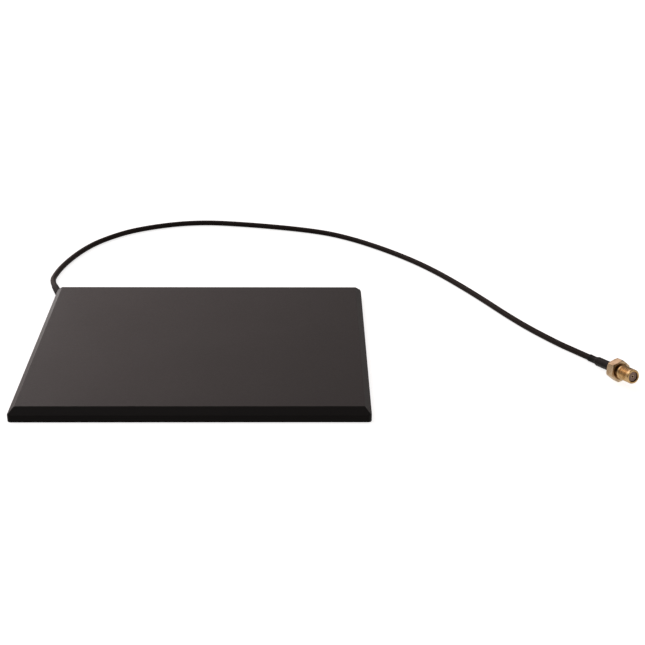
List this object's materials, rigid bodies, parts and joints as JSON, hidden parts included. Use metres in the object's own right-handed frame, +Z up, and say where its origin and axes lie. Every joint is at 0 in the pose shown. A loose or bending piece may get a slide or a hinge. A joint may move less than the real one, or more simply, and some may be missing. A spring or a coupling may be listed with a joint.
{
  "type": "panel antenna with coax pigtail",
  "caption": "Flat bevelled plastic panel antenna for indoor cellular signal kits, with a thin coax pigtail from one corner ending in a gold crimped SMA jack.",
  "frame": {"origin": "centre of the panel's underside, on the surface it rests on", "axes": "+X along the panel's long side, +Y from the front edge to the back edge, where the cable leaves at the left corner, +Z up through the panel"},
  "size_m": [0.2722, 0.2119, 0.0105],
  "materials": {
    "housing_plastic": "matte",
    "base_plastic": "matte",
    "screw_steel": "satin",
    "adhesive_foam": "matte",
    "liner_film": "satin",
    "board_laminate": "satin",
    "copper": "satin",
    "spacer_foam": "matte",
    "cable_jacket": "satin",
    "tinned_braid": "satin",
    "white_dielectric": "satin",
    "silvered_wire": "polished",
    "solder": "satin",
    "saddle_steel": "satin",
    "grommet_rubber": "matte",
    "heat_shrink_tube": "satin",
    "gold_plate": "satin",
    "jack_insulator": "satin",
    "gold_contact": "polished"
  },
  "bodies": {
    "root": {"radome_cover": "housing_plastic", "base_plate": "base_plastic", "case_screws": "screw_steel", "adhesive_pad_left": "adhesive_foam", "adhesive_pad_right": "adhesive_foam", "release_liner_left": "liner_film", "release_liner_right": "liner_film", "antenna_board": "board_laminate", "dipole_arm_left": "copper", "dipole_arm_right": "copper", "tuning_strip_front": "copper", "tuning_strip_back": "copper", "foam_spacer": "spacer_foam", "coax_inner_lead": "cable_jacket", "coax_braid": "tinned_braid", "coax_dielectric": "white_dielectric", "coax_center_wire": "silvered_wire", "solder_braid": "solder", "solder_center": "solder", "cable_saddle": "saddle_steel", "exit_grommet": "grommet_rubber", "coax_cable": "cable_jacket", "heat_shrink": "heat_shrink_tube", "crimp_ferrule": "gold_plate", "crimped_braid": "tinned_braid", "coax_crimp_end": "cable_jacket", "sma_body": "gold_plate", "sma_dielectric": "jack_insulator", "sma_contact": "gold_contact"}
  },
  "joints": []
}
